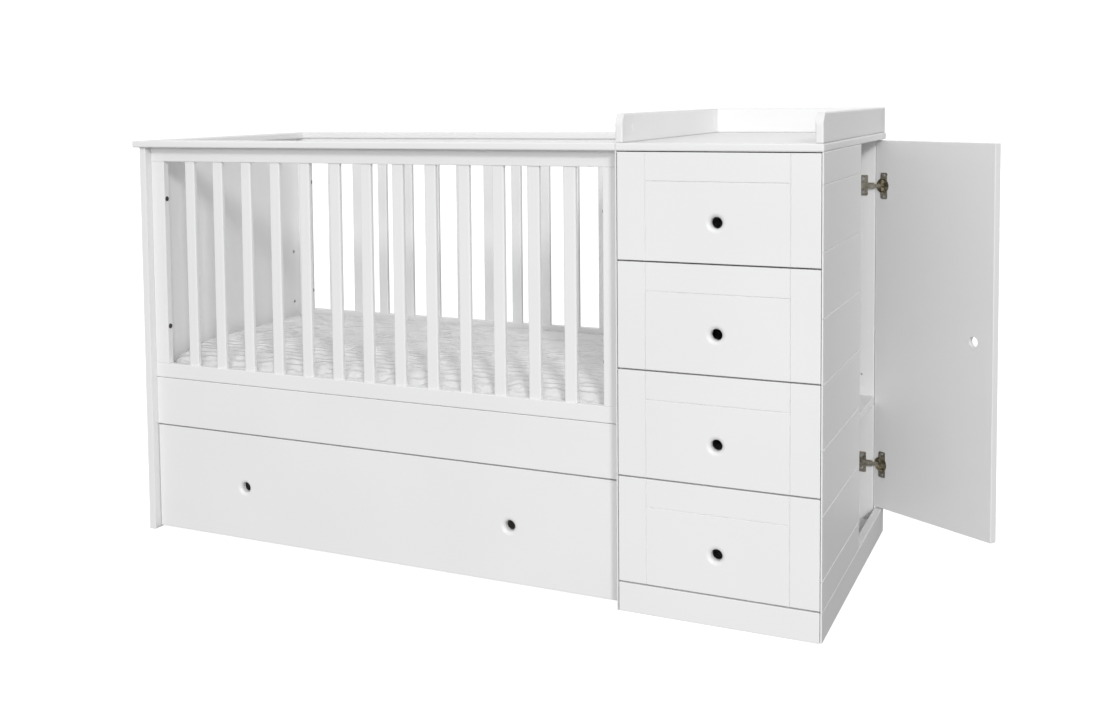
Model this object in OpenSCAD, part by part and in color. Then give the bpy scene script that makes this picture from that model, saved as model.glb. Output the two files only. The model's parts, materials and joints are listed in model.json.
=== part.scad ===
// Cot with a changing chest at its right end.
// Drawn with the cot's clear length on X (chest at +X), the front towards -Y and the floor at Z = 0.
// Inside the modules X = 0 is the chest's left face and Y = 0 is the plane of the drawer fronts;
// in_place() then moves the whole to the middle of its own footprint.

/* [Panels] */
// Thickness of the panels, rails, stiles and drawer fronts
board_t = 18; // [15:0.5:20]
// Thickness of the cap boards and of the changing top
cap_t = 16; // [12:0.5:22]
// Height of the panels up to the underside of the caps
panel_h = 946; // [900:1:1000]
// Radius of the eased arrises on the boards
arris = 1.5; // [0.5:0.25:2.5]

/* [Cot] */
// Clear length between the end panel and the chest
cot_inner_l = 1210; // [1190:1:1290]
// How far the slatted side stands behind the drawer fronts
cot_setback = 34.5; // [24:0.5:44]
// How far the back slatted side stands in front of the chest's back
cot_rear_setback = 36.5; // [26:0.5:46]
// Front edge of the end panel behind the drawer fronts
end_front_y = 14; // [6:1:30]
// Rear edge of the end panel in front of the chest's back
end_rear_inset = 14; // [0:1:30]

/* [Caps] */
// Width of the cap boards
cap_w = 59; // [50:1:70]
// Front edge of the front cap behind the drawer fronts
cap_front_y = 4; // [0:1:12]
// Rear edge of the back cap in front of the chest's back
cap_rear_inset = 2; // [0:1:12]
// How far the caps reach past the end panel
cap_end_overhang = 14; // [4:1:24]

/* [Slatted sides] */
// Height of the top rails
top_rail_h = 35; // [28:1:45]
// Underside of the lower rails
low_rail_z = 379; // [365:1:390]
// Height of the front lower rail
front_low_rail_h = 35; // [30:1:60]
// Height of the back lower rail
back_low_rail_h = 75; // [50:1:85]
// Width of the stiles
stile_w = 39; // [32:1:50]
// Width of a slat
slat_w = 28; // [24:1:34]
// Thickness of a slat
slat_t = 12; // [10:0.5:14]
// Gap between two slats
slat_gap = 53.9; // [46:0.1:60]
// Radius of the slats' long edges
slat_edge_r = 3; // [1:0.5:4]
// Length of the tenon at each end of a slat
tenon_l = 10; // [6:1:14]
// Lower edge of the boards below the rails
apron_z = 262; // [256:1:275]
// Shadow gap between a lower rail and the board below it
apron_gap = 1; // [0.5:0.5:3]
// Height of the lower stile bolts above the lower rails' underside
stile_bolt_rise = 127; // [100:1:160]
// Depth of the upper stile bolts below the panels' top
stile_bolt_drop = 126.5; // [60:0.5:200]

/* [Mattress and its base] */
// Space at each end of the mattress
mattress_end_play = 5; // [3:0.5:20]
// Space at each long side of the mattress
mattress_side_play = 11.5; // [10.5:0.5:20]
// Thickness of the mattress at its edge
mattress_t = 97; // [70:1:120]
// How much the middle of the mattress rises above its edge
mattress_crown = 6; // [2:1:10]
// How much the long sides are drawn in between the corners
mattress_draw_in = 5; // [2:1:8]
// Corner radius of the mattress seen from above
mattress_corner_r = 45; // [25:5:70]
// Roundness of the mattress's top and bottom edges
mattress_edge_r = 16; // [8:1:24]
// Height of the lowest base bolts, which hold the base
base_bolt_z = 332.6; // [328:0.2:340]
// Height from one base position to the next
base_step = 144.2; // [120:0.2:150]
// Number of base positions
base_levels = 3; // [2:1:3]
// Distance of the base bolts from the slatted sides
base_bolt_inset = 28; // [24:1:60]
// Height of the base rails
base_rail_h = 30; // [28:1:40]
// Width of the base's long rails
base_side_rail_w = 20; // [16:1:21]
// Width of a base slat
base_slat_w = 58; // [45:1:70]
// Thickness of a base slat
base_slat_t = 10; // [8:1:14]
// Width of the seat that the base slats rest on
base_seat_w = 10; // [6:1:12]
// Widest gap between two base slats
base_slat_gap_max = 40; // [30:1:50]

/* [Drawer under the cot] */
// Lower edge of the drawer front above the floor
bed_front_z = 5; // [4:1:12]
// Height of the drawer front
bed_front_h = 254; // [240:1:254]
// Gap at each end of the drawer front
bed_front_gap = 2; // [1:0.5:5]
// Thickness of the drawer's sides and back
bed_box_t = 15; // [12:1:18]
// Height of the drawer's sides
bed_box_h = 160; // [120:5:190]
// Lower edge of the drawer's sides
bed_box_z = 47; // [46:1:55]
// Depth of the drawer behind its front
bed_box_d = 600; // [500:5:620]
// Distance of the drawer's sides from the ends of its front
bed_box_inset = 12; // [8:1:30]
// Distance of the finger holes from the ends of the front
bed_hole_inset = 256; // [200:1:320]
// Height of the finger holes
bed_hole_z = 130; // [110:1:160]
// Radius of the castor wheels
wheel_r = 22; // [20:0.5:23]
// Width of the castor wheels
wheel_w = 14; // [10:1:18]
// Radius of the castor axles
axle_r = 3; // [2:0.25:4]
// Distance of the wheels from the drawer's ends
wheel_inset_x = 110; // [60:5:200]
// Distance of the wheels from the drawer's front and back
wheel_inset_y = 70; // [50:5:120]
// Height of the guide strips at the drawer's ends
guide_h = 30; // [20:1:50]
// Underside of the guide strips
guide_z = 70; // [50:1:120]

/* [Chest] */
// Width of the chest
chest_w = 414.5; // [390:0.5:450]
// Depth of the chest
chest_d = 732; // [725:1:760]
// Height of the plinth
plinth_h = 60.5; // [50:0.5:75]
// Width of the side panels' lip beside the fronts
side_lip = 3; // [3:0.5:5]
// Gap between the lip and the fronts
front_side_gap = 1.5; // [1:0.25:3]
// Gap between the fronts
front_gap = 3; // [2:0.5:5]
// Gap between the top front and the top board
front_top_gap = 2; // [1:0.5:4]
// Depth of the grooved board at the right side
side_board_d = 400; // [382:1:410]
// Top of the chest's floor board
floor_top_z = 31; // [24:1:40]
// Distance of the fronts' grooves from their edges
groove_inset = 58; // [45:1:75]
// Width of the V grooves
groove_w = 3; // [2:0.5:6]
// Depth of the V grooves
groove_d = 2.5; // [1:0.25:2.75]
// Distance between the side board's grooves
side_groove_pitch = 127; // [110:1:140]
// Height of a finger hole above its front's lower edge
hole_rise = 80; // [65:1:100]
// Radius of the finger holes
hole_r = 11.5; // [10:0.5:15]
// Radius of the rounded mouth of the finger holes
hole_mouth = 9; // [4:0.5:10]

/* [Chest drawers] */
// Thickness of the drawers' sides and backs
box_t = 12; // [12:0.5:15]
// Height of the drawers' sides
box_h = 150; // [120:5:170]
// Depth of the drawers behind their fronts
box_d = 340; // [300:5:344]
// Lower edge of a drawer's sides above its front's lower edge
box_rise = 18; // [12:1:30]
// Thickness of the drawers' bottoms
bottom_t = 6; // [4:0.5:8]
// Height of a bottom above the sides' lower edge
bottom_rise = 12; // [8:1:20]
// Depth of the grooves that hold a bottom
bottom_let = 5; // [3:0.5:6]
// Space between a drawer's side and the chest
box_side_gap = 4; // [3:0.5:6]
// Height of the wooden runners
runner_h = 14; // [10:1:18]
// Width of the wooden runners
runner_w = 10; // [8.5:0.5:10]
// Height of the runners above the sides' lower edge
runner_rise = 88; // [60:1:100]
// Front end of the runners behind the fronts
runner_front = 24; // [10:1:40]

/* [Changing tray] */
// Thickness of the tray's border boards
tray_t = 16; // [12:0.5:20]
// Height of the tray's border boards
tray_h = 59; // [45:1:80]
// Radius of the side borders' front corner
tray_front_r = 25; // [10:1:40]
// Rear face of the back border in front of the chest's back
tray_rear_inset = 10; // [0:1:20]
// Step between the top board's edge and the borders
tray_step = 0.8; // [0.4:0.1:2]

/* [Cupboard] */
// Angle at which the door stands open
door_open = 58; // [0:1:90]
// Gap between the grooved board and the closed door
door_front_gap = 2.5; // [2:0.5:4]
// Distance of the closed door's hinge edge from the chest's back
door_rear_inset = 3.6; // [3.4:0.1:6]
// Gap above the plinth and below the top board
door_end_gap = 2.5; // [1.5:0.5:4]
// Underside of the shelf
shelf_z = 314; // [280:1:420]
// Distance of the shelf pins from the shelf's ends
shelf_pin_inset = 30; // [20:1:60]
// Height from the shelf pins to the spare holes
shelf_pin_step = 71; // [50:1:90]
// Distance of the door's finger hole from its free edge
door_hole_inset = 51; // [35:1:70]

/* [Cup hinges] */
// Distance of the hinges from the door's ends
hinge_inset = 107; // [80:1:140]
// Radius of the hinge cups
cup_r = 17.5; // [17:0.25:18]
// Depth of the hinge cups in the door
cup_depth = 12.4; // [12.2:0.1:13]
// Wall of the hinge cups
cup_wall = 0.9; // [0.7:0.1:0.9]
// Edge of the cup's bore from the door's hinge edge
cup_edge = 3; // [2.5:0.1:3.2]
// Depth of the pivot below the door's inner face
pivot_depth = 8.8; // [8.6:0.1:9]
// Distance of the pivot from the door's hinge edge
pivot_edge = 7.4; // [7.3:0.1:7.6]
// Radius of the pivot pins
pivot_r = 1.4; // [1.2:0.05:1.5]
// Reach of the swan neck from the pivot to its elbow
neck_reach = 14; // [13.6:0.1:14.2]
// Thickness of the swan neck
neck_t = 2.4; // [2:0.1:2.4]
// Height of the swan neck
neck_h = 9; // [7:0.5:9]

/* [Hidden] */

// Colours
paint_white = "#f2f2f0";
paint_inside = "#ececea";
birch_pale = "#e2cfa8";
board_pale = "#f0efe9";
cloth_white = "#f7f7f5";
steel_dark = "#6f665c";
steel_bright = "#c4c6c8";
rubber_grey = "#565b60";

// Fits and clearances
slide_fit = 0.3;      // between a drawer's groove and its runner, and under what lies loose
let_fit = 0.15;       // round a tenon or a bottom in its groove
pin_fit = 0.05;       // radial, round a pin that something turns on
hole_fit = 0.02;      // radial, round a fixed pin or screw
cut = 1;              // how far a cutter reaches past a face

// Small fasteners
bolt_r = 3;
bolt_head_r = 6;
bolt_head_h = 2.5;
bolt_bite = 10;       // how far a stile bolt reaches into the panel behind
insert_r = 5.5;
insert_l = 12;
screw_r = 1.6;
screw_head_r = 3.3;
screw_head_h = 1.4;
screw_l = 10;
shelf_pin_r = 2.5;
shelf_pin_bite = 9;
shelf_pin_out = 8;
cutter_fn = 48;
small_fn = 32;
wheel_fn = 64;

// Cot
cot_x0 = -cot_inner_l;
end_x0 = cot_x0 - board_t;
end_rear_y = chest_d - end_rear_inset;
front_y0 = cot_setback;
cot_y0 = front_y0 + board_t;
cot_inner_w = chest_d - cot_setback - cot_rear_setback - 2 * board_t;
cot_y1 = cot_y0 + cot_inner_w;
cap_x0 = end_x0 - cap_end_overhang;
cap_rear_y = chest_d - cap_rear_inset;
top_rail_z = panel_h - top_rail_h;
stile_bolt_z = [low_rail_z + stile_bolt_rise, panel_h - stile_bolt_drop];
slat_pitch = slat_w + slat_gap;
slat_bay = cot_inner_l - 2 * stile_w;
slat_n = floor((slat_bay - slat_gap) / slat_pitch);
slat_x0 = -cot_inner_l / 2 - (slat_n * slat_pitch - slat_gap) / 2;
slat_inset = (board_t - slat_t) / 2;

// Mattress base
base_gap = 1.5;       // between the base and the slatted sides
base_y0 = cot_y0 + base_gap;
base_y1 = cot_y1 - base_gap;
base_rail_z = base_bolt_z - base_rail_h / 2;
base_top_z = base_rail_z + base_rail_h;
base_bolt_y = [cot_y0 + base_bolt_inset, cot_y1 - base_bolt_inset];
base_bay = cot_inner_l - 2 * board_t;
base_slat_n = ceil((base_bay - base_slat_gap_max) / (base_slat_w + base_slat_gap_max));
base_slat_gap = (base_bay - base_slat_n * base_slat_w) / (base_slat_n + 1);
mattress_z = base_top_z + slide_fit;
mattress_l = cot_inner_l - 2 * mattress_end_play;
mattress_w = cot_inner_w - 2 * mattress_side_play;

// Drawer under the cot
bed_x0 = cot_x0 + bed_front_gap;
bed_x1 = -bed_front_gap;
bed_box_x0 = bed_x0 + bed_box_inset;
bed_box_x1 = bed_x1 - bed_box_inset;
bed_box_y1 = cot_y0 + bed_box_d;
bed_bottom_t = 8;
bed_bottom_rise = 9;  // height of the bottom above the sides' lower edge
bed_bottom_z = bed_box_z + bed_bottom_rise;
wheel_gap = 0.5;      // between a wheel and its bracket's cheeks
wheel_z = wheel_r + slide_fit;
wheel_x = [cot_x0 + wheel_inset_x, -wheel_inset_x];
wheel_y = [cot_y0 + wheel_inset_y, bed_box_y1 - wheel_inset_y];
cheek_t = 2;
bracket_lip = 12;     // how far the bracket's plate reaches past its cheeks
cheek_drop = 8;       // straight part of a cheek below the plate
cheek_turn = 20;      // angle at which a cheek's round end starts
guide_front = 5;      // front end of the guide strips behind the drawer's front
cheek_top_w = 34;
cheek_low_r = 9;
axle_head_r = 4.5;
axle_head_h = 1.5;
hub_wall = 3.5;
rim_share = 0.7;      // inner radius of the rim as a share of the wheel's radius
disc_recess = 2.5;
tread_r = 2;

// Chest
chest_in_x0 = board_t;
chest_in_x1 = chest_w - board_t;
front_x0 = side_lip + front_side_gap;
front_x1 = chest_w - front_x0;
front_w = front_x1 - front_x0;
rabbet_gap = 0.5;     // behind the fronts
rabbet_d = board_t + rabbet_gap;
drawer_n = 4;
front_z0 = plinth_h + front_gap;
front_h = (panel_h - front_top_gap - front_z0 - (drawer_n - 1) * front_gap) / drawer_n;
front_pitch = front_h + front_gap;
divider_y0 = side_board_d - board_t;
rear_wall_y0 = chest_d - board_t;
side_board_h = panel_h - plinth_h;
side_groove_margin = 30;
side_groove_n = 1 + floor((side_board_h - 2 * side_groove_margin) / side_groove_pitch);
side_groove_z0 = plinth_h + (side_board_h - (side_groove_n - 1) * side_groove_pitch) / 2;

// Chest drawers
box_x0 = chest_in_x0 + box_side_gap;
box_x1 = chest_in_x1 - box_side_gap;
box_y0 = board_t;
box_y1 = box_y0 + box_d;
runner_y0 = box_y0 + runner_front;
runner_lead = 6;      // how far a drawer's groove starts before its runner

// Changing tray
tray_z = panel_h + cap_t;
tray_y1 = chest_d - tray_rear_inset;
tray_slot_h = 15;
tray_slot_w = 4;
tray_slot_d = 5;
tray_slot_inset = 58.5;
tray_slot_rise = 31;
tray_slot_y = [tray_step + tray_slot_inset, tray_y1 - tray_slot_inset];
tray_slot_z = tray_z + tray_slot_rise;

// Cupboard door, closed
door_y0 = side_board_d + door_front_gap;
door_y1 = chest_d - door_rear_inset;
door_z0 = plinth_h + door_end_gap;
door_z1 = panel_h - door_end_gap;
pivot_x = chest_in_x1 + pivot_depth;
pivot_y = door_y1 - pivot_edge;
hinge_z = [door_z0 + hinge_inset, door_z1 - hinge_inset];
corner_x = pivot_depth - arris;
corner_y = pivot_edge - arris;
door_sweep = arris + sqrt(corner_x * corner_x + corner_y * corner_y);
sweep_gap = 0.6;      // between the turning door's heel and the rear wall
rear_wall_x1 = pivot_x - door_sweep - sweep_gap;
shelf_set_back = 1.5;
shelf_x1 = chest_in_x1 - shelf_set_back;
shelf_pin_z = shelf_z - shelf_pin_r;
shelf_pin_x = [chest_in_x0 + shelf_pin_inset, shelf_x1 - shelf_pin_inset];

// Cup hinges
cup_y = door_y1 - cup_edge - cup_r;
cup_in_r = cup_r - cup_wall;
cup_floor = 0.8;
cup_in_depth = cup_depth - cup_floor;
flange_t = 1.2;
flange_h = 62;
flange_corner_r = 4;
flange_near = 14.5;   // edge of the flange from the door's hinge edge
flange_far = 34;
flange_screw_z = 25;
flange_screw_y = door_y1 - (flange_near + flange_far) / 2;
eye_r = 2.5;
ear_gap = 0.5;
ear_h = 3;
neck_y = pivot_y - neck_reach;
arm_end_gap = 3.5;    // from the end of the arm's channel to the door's inner face
arm_l = 44;
arm_x1 = chest_in_x1 - arm_end_gap;
arm_x0 = arm_x1 - arm_l;
arm_screw_x = arm_x0 + 7.5;
neck_lap = 6;         // how far the neck runs under the channel
arm_h = 14;
arm_wall = 1.2;
arm_web_y = neck_y - neck_t / 2;
arm_flange_d = 4.6;
plate_t = 1.8;
plate_h = 49;
plate_w = 21;
plate_corner_r = 3;
plate_mid_x = arm_x0 + 17.5;
plate_screw_z = 16;
rib_play = 0.1;       // between the rib and the arm's web
rib_side_play = 0.2;  // between the rib and the arm's flanges
rib_x0 = arm_x0 + 2;
rib_x1 = arm_x1 - 8;
plate_rib_y = arm_web_y + arm_wall + rib_play;
rib_h = arm_h - 2 * (arm_wall + rib_side_play);

// Footprint, with the door as it stands
door_reach = [chest_w - arris - pivot_x, pivot_y - door_y0 - arris];
door_far_x = pivot_x + door_reach[0] * cos(door_open) + door_reach[1] * sin(door_open) + arris;
door_heel = [chest_w - arris - pivot_x, pivot_edge - arris];
door_heel_y = pivot_y + door_heel[0] * sin(door_open) + door_heel[1] * cos(door_open) + arris;
foot_x = (cap_x0 + max(chest_w, door_far_x)) / 2;
foot_y = max(chest_d, door_heel_y) / 2;

module in_place() {
    translate([-foot_x, -foot_y, 0])
        children();
}

// The door and what rides on it, turned about the pivots to where it stands
module door_in_place() {
    in_place()
        translate([pivot_x, pivot_y, 0])
            rotate([0, 0, door_open])
                translate([-pivot_x, -pivot_y, 0])
                    children();
}

// ---- shared shapes ----

function arc_points(c, r, a0, a1, n) =
    [for (i = [0 : n]) let (a = a0 + (a1 - a0) * i / n) [c[0] + r * cos(a), c[1] + r * sin(a)]];

function round_outline(w, h, r, n) = concat(
    arc_points([w - r, r], r, -90, 0, n),
    arc_points([w - r, h - r], r, 0, 90, n),
    arc_points([r, h - r], r, 90, 180, n),
    arc_points([r, r], r, 180, 270, n));

// A board from its low corner, with all twelve arrises eased
module board(size, e = arris) {
    intersection() {
        linear_extrude(size[2])
            polygon(round_outline(size[0], size[1], e, 2));
        rotate([90, 0, 90])
            linear_extrude(size[0])
                polygon(round_outline(size[1], size[2], e, 2));
        translate([0, size[1], 0])
            rotate([90, 0, 0])
                linear_extrude(size[1])
                    polygon(round_outline(size[0], size[2], e, 2));
    }
}

// A cylinder along X from x0 to x1
module rod_x(x0, x1, r) {
    translate([x0, 0, 0])
        rotate([0, 90, 0])
            cylinder(r = r, h = x1 - x0, $fn = cutter_fn);
}

// Cutter for a V groove along Z, from z = 0 up, centred on the face at y = 0
module groove_z(length) {
    linear_extrude(length)
        polygon([[-groove_w / 2, 0], [0, groove_d], [groove_w / 2, 0], [groove_w / 2, -cut],
                 [-groove_w / 2, -cut]]);
}

// Cutter for a V groove along X, from x = 0, centred on the face at y = 0
module groove_x(length) {
    rotate([0, 90, 0])
        groove_z(length);
}

// Cutter for a finger hole along Z: the rounded mouth is at z = 0, the panel lies above it
module finger_hole() {
    mouth_r = hole_r + hole_mouth;
    rotate_extrude($fn = cutter_fn)
        polygon(concat(
            [[0, -cut], [mouth_r, -cut]],
            arc_points([mouth_r, hole_mouth], hole_mouth, 270, 180, 5),
            [[hole_r, board_t + cut], [0, board_t + cut]]));
}

// ---- cot: end panel and caps ----

module end_panel() {
    color(paint_white)
        in_place()
            difference() {
                translate([end_x0, end_front_y, 0])
                    board([board_t, end_rear_y - end_front_y, panel_h]);
                insert_holes(cot_x0, -1);
                stile_bolt_holes(cot_x0, -1);
            }
}

// Blind holes for the base inserts in the face at x, cut towards dir
module insert_holes(x, dir) {
    for (y = base_bolt_y, level = [0 : base_levels - 1])
        translate([x, y, base_bolt_z + level * base_step])
            rotate([0, 90 * dir, 0])
                translate([0, 0, -cut])
                    cylinder(r = insert_r + hole_fit, h = insert_l + cut, $fn = cutter_fn);
}

// Blind holes for the stile bolts in the face at x, cut towards dir
module stile_bolt_holes(x, dir) {
    for (y = [front_y0 + board_t / 2, cot_y1 + board_t / 2], z = stile_bolt_z)
        translate([x, y, z])
            rotate([0, 90 * dir, 0])
                translate([0, 0, -cut])
                    cylinder(r = bolt_r + hole_fit, h = bolt_bite + 2 * cut, $fn = cutter_fn);
}

module cap_front() {
    color(paint_white)
        in_place()
            translate([cap_x0, cap_front_y, panel_h])
                board([-cap_x0, cap_w, cap_t], 2 * arris);
}

module cap_back() {
    color(paint_white)
        in_place()
            translate([cap_x0, cap_rear_y - cap_w, panel_h])
                board([-cap_x0, cap_w, cap_t], 2 * arris);
}

module cap_end() {
    y0 = cap_front_y + cap_w;
    color(paint_white)
        in_place()
            translate([cap_x0, y0, panel_h])
                board([cap_w, cap_rear_y - cap_w - y0, cap_t], 2 * arris);
}

// ---- cot: slatted sides ----

// Mortises for the slats of the side whose front face is at y, from z0 to z1
module slat_mortises(y, z0, z1) {
    for (i = [0 : slat_n - 1])
        translate([slat_x0 + i * slat_pitch - let_fit, y + slat_inset - let_fit, z0])
            cube([slat_w + 2 * let_fit, slat_t + 2 * let_fit, z1 - z0]);
}

module top_rail(y) {
    color(paint_white)
        in_place()
            difference() {
                translate([cot_x0, y, top_rail_z])
                    board([cot_inner_l, board_t, top_rail_h]);
                slat_mortises(y, top_rail_z - cut, top_rail_z + tenon_l + let_fit);
            }
}

module low_rail(y, h) {
    color(paint_white)
        in_place()
            difference() {
                translate([cot_x0, y, low_rail_z])
                    board([cot_inner_l, board_t, h]);
                slat_mortises(y, low_rail_z + h - tenon_l - let_fit, low_rail_z + h + cut);
            }
}

// The two stiles between a side's rails, bored for their bolts
module stiles(y, low_h) {
    z0 = low_rail_z + low_h;
    color(paint_white)
        in_place()
            difference() {
                for (x = [cot_x0, -stile_w])
                    translate([x, y, z0])
                        board([stile_w, board_t, top_rail_z - z0]);
                for (x = [cot_x0, -stile_w], z = stile_bolt_z)
                    translate([0, y + board_t / 2, z])
                        rod_x(x - cut, x + stile_w + cut, bolt_r + hole_fit);
            }
}

module slats(y, low_h) {
    z0 = low_rail_z + low_h - tenon_l;
    color(paint_white)
        in_place()
            for (i = [0 : slat_n - 1])
                translate([slat_x0 + i * slat_pitch, y + slat_inset, z0])
                    linear_extrude(top_rail_z + tenon_l - z0)
                        polygon(round_outline(slat_w, slat_t, slat_edge_r, 4));
}

module apron(y) {
    color(paint_white)
        in_place()
            translate([cot_x0, y, apron_z])
                board([cot_inner_l, board_t, low_rail_z - apron_gap - apron_z]);
}

// Domed-head bolts through the stiles into the end panel and the chest
module stile_bolts() {
    color(steel_bright)
        in_place()
            for (y = [front_y0 + board_t / 2, cot_y1 + board_t / 2], z = stile_bolt_z)
                translate([0, y, z]) {
                    rod_x(cot_x0 - bolt_bite, cot_x0 + stile_w, bolt_r);
                    bolt_head_x(cot_x0 + stile_w, 1);
                    rod_x(-stile_w, bolt_bite, bolt_r);
                    bolt_head_x(-stile_w, -1);
                }
}

// A domed bolt head on the face at x, standing out towards dir
module bolt_head_x(x, dir) {
    translate([x, 0, 0])
        rotate([0, 90 * dir, 0])
            rotate_extrude($fn = small_fn)
                polygon([[0, 0], [bolt_head_r, 0], [bolt_head_r, bolt_head_h * 0.35],
                         [bolt_head_r * 0.8, bolt_head_h * 0.8], [bolt_head_r * 0.5, bolt_head_h],
                         [0, bolt_head_h]]);
}

// ---- cot: mattress base and mattress ----

// The two long rails: an L section whose seat carries the slats
module base_side_rails() {
    w = base_side_rail_w;
    s = base_seat_w;
    h = base_rail_h;
    t = base_slat_t + let_fit;
    color(birch_pale)
        in_place()
            for (side = [0, 1])
                translate([cot_x0 + board_t, side == 0 ? base_y0 : base_y1, base_rail_z])
                    mirror([0, side, 0])
                        rotate([90, 0, 90])
                            linear_extrude(base_bay)
                                polygon([[0, 0], [w, 0], [w, h - t], [w - s, h - t], [w - s, h], [0, h]]);
}

module base_end_rails() {
    color(birch_pale)
        in_place()
            difference() {
                for (x = [cot_x0, -board_t])
                    translate([x, base_y0, base_rail_z])
                        board([board_t, base_y1 - base_y0, base_rail_h]);
                for (y = base_bolt_y)
                    translate([0, y, base_bolt_z])
                        rod_x(cot_x0 - cut, cut, bolt_r + hole_fit);
            }
}

module base_slats() {
    y0 = base_y0 + base_side_rail_w - base_seat_w + let_fit;
    y1 = base_y1 - base_side_rail_w + base_seat_w - let_fit;
    color(birch_pale)
        in_place()
            for (i = [0 : base_slat_n - 1])
                translate([cot_x0 + board_t + base_slat_gap + i * (base_slat_w + base_slat_gap), y0,
                           base_top_z - base_slat_t])
                    board([base_slat_w, y1 - y0, base_slat_t]);
}

// Bolts through the end rails into the inserts at the lowest height
module base_bolts() {
    color(steel_bright)
        in_place()
            for (y = base_bolt_y)
                translate([0, y, base_bolt_z]) {
                    rod_x(cot_x0 - insert_l, cot_x0 + board_t, bolt_r);
                    bolt_head_x(cot_x0 + board_t, 1);
                    rod_x(-board_t, insert_l, bolt_r);
                    bolt_head_x(-board_t, -1);
                }
}

// Threaded sleeves in the end panel and the chest, at each height of the base
module base_inserts() {
    color(steel_bright)
        in_place()
            for (y = base_bolt_y, level = [0 : base_levels - 1], x = [cot_x0 - insert_l, 0])
                translate([0, y, base_bolt_z + level * base_step])
                    difference() {
                        rod_x(x, x + insert_l, insert_r);
                        rod_x(x - cut, x + insert_l + cut, bolt_r + hole_fit);
                    }
}

// Point of the mattress's outline seen from above, at part k of the way round
mattress_side_n = 8;
mattress_corner_n = 4;
function draw_in(s) = mattress_draw_in * (1 - s * s);
function mattress_outline(l, w, r) = concat(
    [for (i = [1 : mattress_side_n - 1]) let (s = 2 * i / mattress_side_n - 1)
        [s * (l / 2 - r), -w / 2 + draw_in(s)]],
    arc_points([l / 2 - r, -w / 2 + r], r, -90, 0, mattress_corner_n),
    [for (i = [1 : mattress_side_n - 1]) let (s = 2 * i / mattress_side_n - 1)
        [l / 2 - draw_in(s) / 2, s * (w / 2 - r)]],
    arc_points([l / 2 - r, w / 2 - r], r, 0, 90, mattress_corner_n),
    [for (i = [1 : mattress_side_n - 1]) let (s = 1 - 2 * i / mattress_side_n)
        [s * (l / 2 - r), w / 2 - draw_in(s)]],
    arc_points([-l / 2 + r, w / 2 - r], r, 90, 180, mattress_corner_n),
    [for (i = [1 : mattress_side_n - 1]) let (s = 1 - 2 * i / mattress_side_n)
        [-l / 2 + draw_in(s) / 2, s * (w / 2 - r)]],
    arc_points([-l / 2 + r, -w / 2 + r], r, 180, 270, mattress_corner_n));

// Rings from the bottom's edge, up the rounded side and over the crown: [inset, height]
mattress_rings = concat(
    [for (a = [0 : 30 : 90]) [mattress_edge_r * (1 - sin(a)), mattress_edge_r * (1 - cos(a))]],
    [for (a = [0 : 30 : 90]) [mattress_edge_r * (1 - cos(a)),
                              mattress_t - mattress_edge_r * (1 - sin(a))]],
    [for (i = [1 : 4]) let (d = i / 5)
        [mattress_edge_r + d * (mattress_w / 2 - mattress_edge_r),
         mattress_t + mattress_crown * sin(90 * d)]]);

// A crowned pad: rings of the outline drawn in towards the middle, closed by a fan at each end
module mattress() {
    outline = mattress_outline(mattress_l, mattress_w, mattress_corner_r);
    n = len(outline);
    m = len(mattress_rings);
    points = concat(
        [for (ring = mattress_rings, p = outline)
            [p[0] * (1 - ring[0] / (mattress_l / 2)), p[1] * (1 - ring[0] / (mattress_w / 2)), ring[1]]],
        [[0, 0, 0], [0, 0, mattress_t + mattress_crown]]);
    faces = concat(
        [for (k = [0 : m - 2], i = [0 : n - 1]) [k * n + i, (k + 1) * n + i, (k + 1) * n + (i + 1) % n]],
        [for (k = [0 : m - 2], i = [0 : n - 1]) [k * n + i, (k + 1) * n + (i + 1) % n, k * n + (i + 1) % n]],
        [for (i = [0 : n - 1]) [i, (i + 1) % n, m * n]],
        [for (i = [0 : n - 1]) [(m - 1) * n + (i + 1) % n, (m - 1) * n + i, m * n + 1]]);
    color(cloth_white)
        in_place()
            translate([-cot_inner_l / 2, (cot_y0 + cot_y1) / 2, mattress_z])
                polyhedron(points, faces);
}

// ---- drawer under the cot ----

module bed_drawer_front() {
    color(paint_white)
        in_place()
            difference() {
                translate([bed_x0, front_y0, bed_front_z])
                    board([bed_x1 - bed_x0, board_t, bed_front_h]);
                for (x = [bed_x0 + bed_hole_inset, bed_x1 - bed_hole_inset])
                    translate([x, front_y0, bed_hole_z])
                        rotate([-90, 0, 0])
                            finger_hole();
                bed_bottom_groove();
            }
}

// Space of the bottom, with its fit: what the front, sides and back are grooved for
module bed_bottom_groove() {
    translate([bed_box_x0 + bed_box_t - bottom_let - let_fit, cot_y0 - bottom_let - let_fit,
               bed_bottom_z - let_fit])
        cube([bed_box_x1 - bed_box_x0 - 2 * (bed_box_t - bottom_let - let_fit),
              bed_box_d - bed_box_t + 2 * (bottom_let + let_fit), bed_bottom_t + 2 * let_fit]);
}

module bed_drawer_sides() {
    color(paint_inside)
        in_place()
            difference() {
                for (x = [bed_box_x0, bed_box_x1 - bed_box_t])
                    translate([x, cot_y0, bed_box_z])
                        board([bed_box_t, bed_box_d, bed_box_h]);
                bed_bottom_groove();
            }
}

module bed_drawer_back() {
    color(paint_inside)
        in_place()
            difference() {
                translate([bed_box_x0 + bed_box_t, bed_box_y1 - bed_box_t, bed_box_z])
                    board([bed_box_x1 - bed_box_x0 - 2 * bed_box_t, bed_box_t, bed_box_h]);
                bed_bottom_groove();
            }
}

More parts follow.
